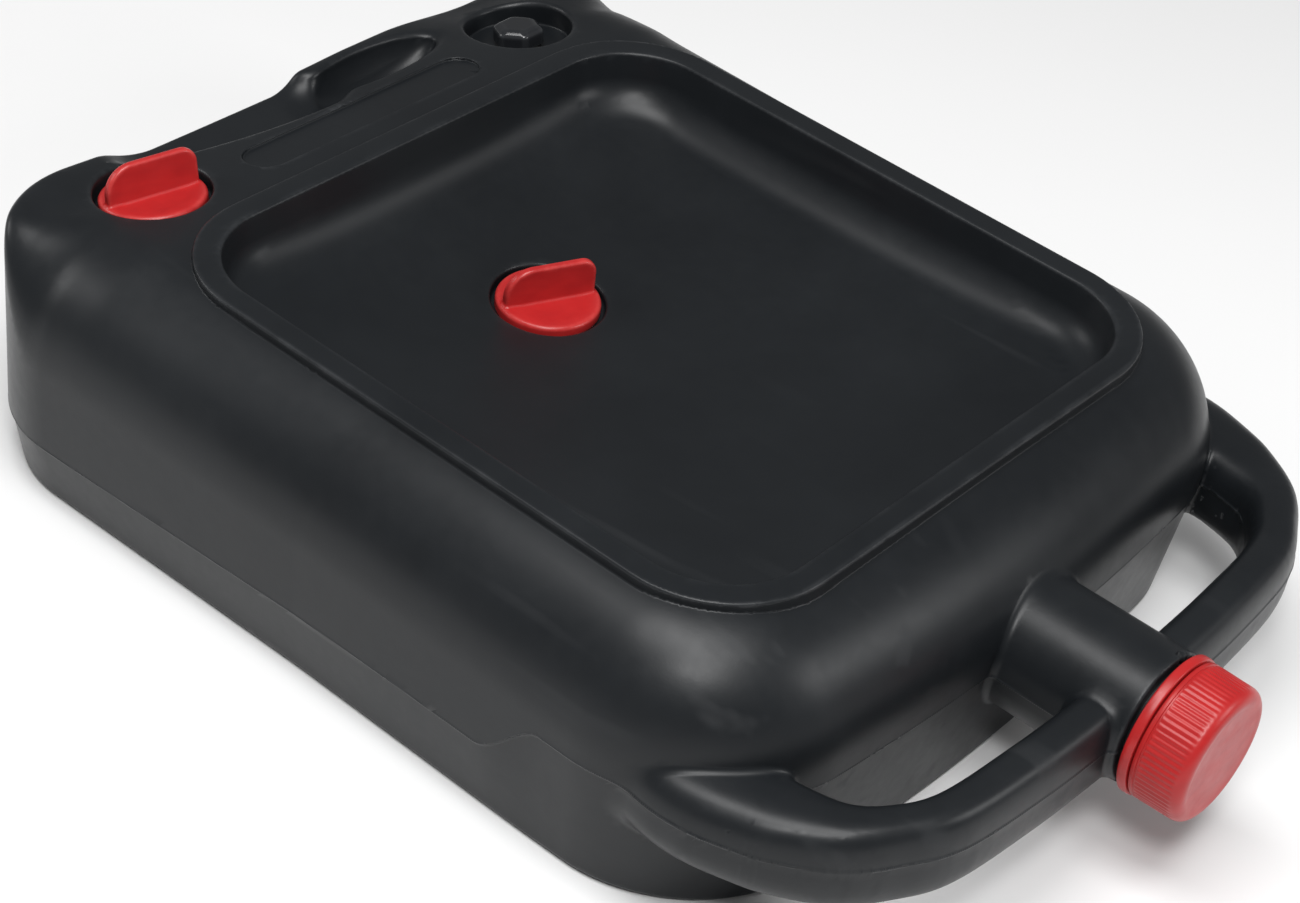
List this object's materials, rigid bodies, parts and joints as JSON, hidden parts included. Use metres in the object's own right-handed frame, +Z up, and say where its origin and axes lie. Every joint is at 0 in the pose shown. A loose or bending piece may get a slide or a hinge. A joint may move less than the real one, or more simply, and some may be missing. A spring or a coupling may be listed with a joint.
{
  "type": "oil drain pan",
  "caption": "Low black plastic drain pan with a catch tray in its top, a pouring neck with a red screw cap inside a finger loop, red winged plugs and a small vent cap.",
  "frame": {"origin": "bottom centre of the box round the whole pan, on the surface it stands on", "axes": "+X points out of the pouring neck, +Y to the side that holds the vent cap, +Z up"},
  "size_m": [0.5324, 0.385, 0.1334],
  "materials": {
    "tank_black": "satin, fine moulded grain",
    "closure_red": "semi-gloss",
    "vent_black": "gloss",
    "seal_rubber": "matte",
    "liner_foam": "matte foam"
  },
  "bodies": {
    "tank": {"tank_body": "tank_black", "cap_tamper_ring": "closure_red"},
    "spout_cap_carrier": {"cap_liner": "liner_foam"},
    "spout_cap": {"spout_cap": "closure_red"},
    "rear_plug_carrier": {"rear_plug_seal": "seal_rubber"},
    "rear_plug": {"rear_plug": "closure_red"},
    "tray_plug_carrier": {"tray_plug_seal": "seal_rubber"},
    "tray_plug": {"tray_plug": "closure_red"},
    "vent_cap_carrier": {"vent_seal": "seal_rubber"},
    "vent_cap": {"vent_cap": "vent_black"}
  },
  "joints": [
    {"name": "spout_cap_travel", "type": "slide", "parent": "tank", "child": "spout_cap_carrier", "axis": [1, 0, 0], "range_m": [0, 0.03]},
    {"name": "spout_cap_turn", "type": "hinge", "parent": "spout_cap_carrier", "child": "spout_cap", "pos_m": [0.2432, 0, 0.061], "axis": [1, 0, 0], "range_deg": [0, 1800]},
    {"name": "rear_plug_travel", "type": "slide", "parent": "tank", "child": "rear_plug_carrier", "axis": [-0.158, 0, 0.9874], "range_m": [0, 0.03]},
    {"name": "rear_plug_turn", "type": "hinge", "parent": "rear_plug_carrier", "child": "rear_plug", "pos_m": [-0.2233, -0.114, 0.1172], "axis": [-0.158, 0, 0.9874], "range_deg": [0, 2160]},
    {"name": "tray_plug_travel", "type": "slide", "parent": "tank", "child": "tray_plug_carrier", "axis": [0, 0, 1], "range_m": [0, 0.03]},
    {"name": "tray_plug_turn", "type": "hinge", "parent": "tray_plug_carrier", "child": "tray_plug", "pos_m": [-0.0928, 0, 0.079], "axis": [0, 0, 1], "range_deg": [0, 2160]},
    {"name": "vent_cap_travel", "type": "slide", "parent": "tank", "child": "vent_cap_carrier", "axis": [-0.158, 0, 0.9874], "range_m": [0, 0.024]},
    {"name": "vent_cap_turn", "type": "hinge", "parent": "vent_cap_carrier", "child": "vent_cap", "pos_m": [-0.2233, 0.114, 0.1172], "axis": [-0.158, 0, 0.9874], "range_deg": [0, 2880]}
  ],
  "couplings": [
    {"joint": "spout_cap_travel", "follows": "spout_cap_turn", "m_per_rad": 0.00095493},
    {"joint": "rear_plug_travel", "follows": "rear_plug_turn", "m_per_rad": 0.00079577},
    {"joint": "tray_plug_travel", "follows": "tray_plug_turn", "m_per_rad": 0.00079577},
    {"joint": "vent_cap_travel", "follows": "vent_cap_turn", "m_per_rad": 0.00047746}
  ]
}
